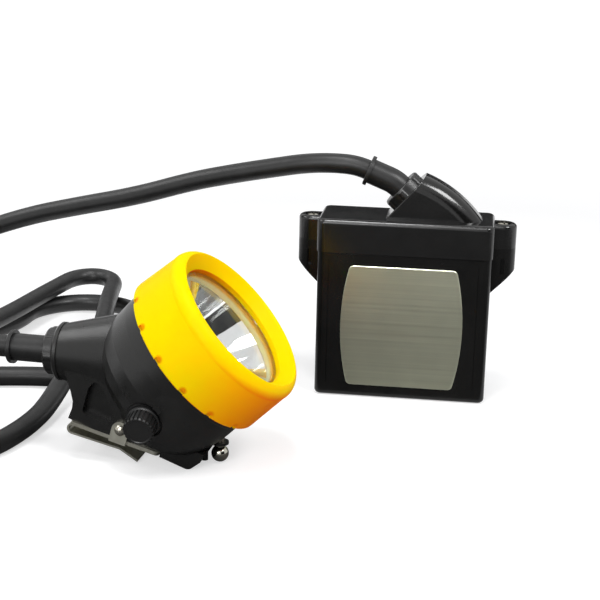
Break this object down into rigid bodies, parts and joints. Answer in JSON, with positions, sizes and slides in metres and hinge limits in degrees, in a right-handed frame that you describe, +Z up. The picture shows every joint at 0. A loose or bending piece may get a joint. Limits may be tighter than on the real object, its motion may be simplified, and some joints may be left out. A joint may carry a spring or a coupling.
{
  "type": "miner's cap lamp",
  "caption": "Corded cap lamp: tilting yellow bezel headpiece with cap clip and rotary switch, joined by one cable to an upright battery pack.",
  "frame": {"origin": "middle of the battery pack's base", "axes": "+Z up, -Y out of the battery pack's label face, +X to the right as seen from the label side"},
  "size_m": [0.3438, 0.2546, 0.1046],
  "materials": {
    "black_shell": "glossy",
    "black_housing": "satin",
    "black_nylon": "satin",
    "yellow": "glossy",
    "clear": "clear",
    "mirror": "polished",
    "emitter": "glossy",
    "board": "satin",
    "aluminium": "plain",
    "steel": "satin",
    "plate_steel": "brushed",
    "nickel": "polished",
    "brass": "plain",
    "cell_wrap": "satin",
    "seal_rubber": "matte",
    "cable_rubber": "satin"
  },
  "bodies": {
    "lamp": {"battery_case": "black_shell", "battery_lid": "black_shell", "lid_gasket": "seal_rubber", "lid_screws": "steel", "lid_inserts": "brass", "name_plate": "plate_steel", "battery_cells": "cell_wrap", "cell_pad": "seal_rubber", "cell_strip": "nickel", "protection_board": "board", "pack_gland_nut": "black_nylon", "pack_boot": "cable_rubber", "pack_grommet": "seal_rubber", "head_housing": "black_housing", "reflector": "mirror", "led_emitter": "emitter", "led_board": "board", "heat_sink": "aluminium", "driver_board": "board", "switch_collar": "black_nylon", "switch_seal": "seal_rubber", "rotary_switch": "black_nylon", "cap_clip": "steel", "clip_tongue": "steel", "clip_rivets": "steel", "charge_stud": "nickel", "stud_washer": "black_nylon", "stud_nut": "brass", "head_gland_nut": "black_nylon", "head_boot": "cable_rubber", "head_grommet": "seal_rubber", "cable": "cable_rubber"},
    "bezel": {"bezel_ring": "yellow", "lens": "clear", "lens_seal": "seal_rubber"},
    "switch": {"switch_knob": "black_nylon", "switch_shaft": "steel"}
  },
  "joints": [
    {"name": "bezel_turn", "type": "hinge", "parent": "lamp", "child": "bezel", "pos_m": [-0.0716, -0.098, 0.04383], "axis": [0.749, -0.0576, 0.66], "range_deg": [0, 32]},
    {"name": "switch_turn", "type": "hinge", "parent": "lamp", "child": "switch", "pos_m": [-0.08674, -0.1244, 0.02549], "axis": [-0.0475, -0.9737, -0.223], "range_deg": [0, 90]}
  ]
}
